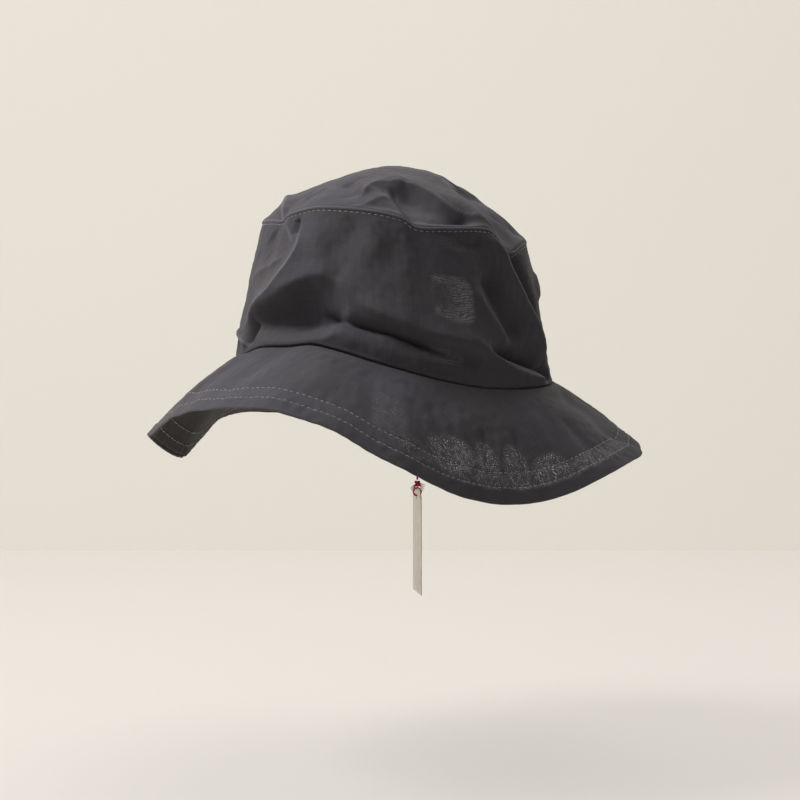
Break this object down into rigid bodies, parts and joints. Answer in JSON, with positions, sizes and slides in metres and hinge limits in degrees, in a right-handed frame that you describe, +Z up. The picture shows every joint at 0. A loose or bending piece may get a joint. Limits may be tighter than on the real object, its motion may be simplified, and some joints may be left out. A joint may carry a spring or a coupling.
{
  "type": "bucket hat",
  "caption": "Soft cloth sun hat with an oval top panel, a floppy double-layer brim, a sweatband and a blank swing tag hanging inside.",
  "frame": {"origin": "centre of the head opening, in the plane of the seam between crown and brim", "axes": "+Z up through the crown, -Y to the front of the hat, +X to the wearer's left"},
  "size_m": [0.2788, 0.3042, 0.2572],
  "materials": {
    "cloth": "thin plain weave",
    "lining": "thin plain weave",
    "band": "ribbed band",
    "thread": "twisted sewing thread",
    "label": "woven tape",
    "care_label": "satin tape",
    "tag_cord": "twisted cord",
    "card": "uncoated card"
  },
  "bodies": {
    "hat": {"crown_tip": "cloth", "crown_side": "cloth", "tip_lining": "lining", "side_lining": "lining", "brim_upper": "cloth", "brim_under": "cloth", "sweatband": "band", "tip_topstitch": "thread", "brim_topstitch_outer": "thread", "brim_topstitch_inner": "thread", "side_back_topstitch": "thread", "brim_back_topstitch": "thread", "woven_label": "label", "woven_label_stitches": "thread", "loop_tab": "band"},
    "care_flap": {"care_label": "care_label"},
    "loop": {"tag_loop": "thread"},
    "cord": {"cord_hitch": "tag_cord", "tag_cord": "tag_cord", "tag_knot": "tag_cord"},
    "card": {"tag_eye": "tag_cord", "tag_card": "card"}
  },
  "joints": [
    {"name": "care_label_flap", "type": "hinge", "parent": "hat", "child": "care_flap", "pos_m": [0.04097, 0.07496, 0.02227], "axis": [-0.866, 0.5, 0], "range_deg": [-8, 90]},
    {"name": "tag_side_swing", "type": "hinge", "parent": "hat", "child": "loop", "pos_m": [-0.02506, 0.08624, -0.00233], "axis": [-0.2924, 0.9563, 0], "range_deg": [-35, 35]},
    {"name": "tag_fore_swing", "type": "hinge", "parent": "loop", "child": "cord", "pos_m": [-0.02506, 0.08624, -0.00583], "axis": [-0.9563, -0.2924, 0], "range_deg": [-25, 60]},
    {"name": "card_twist", "type": "hinge", "parent": "cord", "child": "card", "pos_m": [-0.02506, 0.08624, -0.07573], "axis": [0, 0, 1], "range_deg": [-180, 180]}
  ]
}
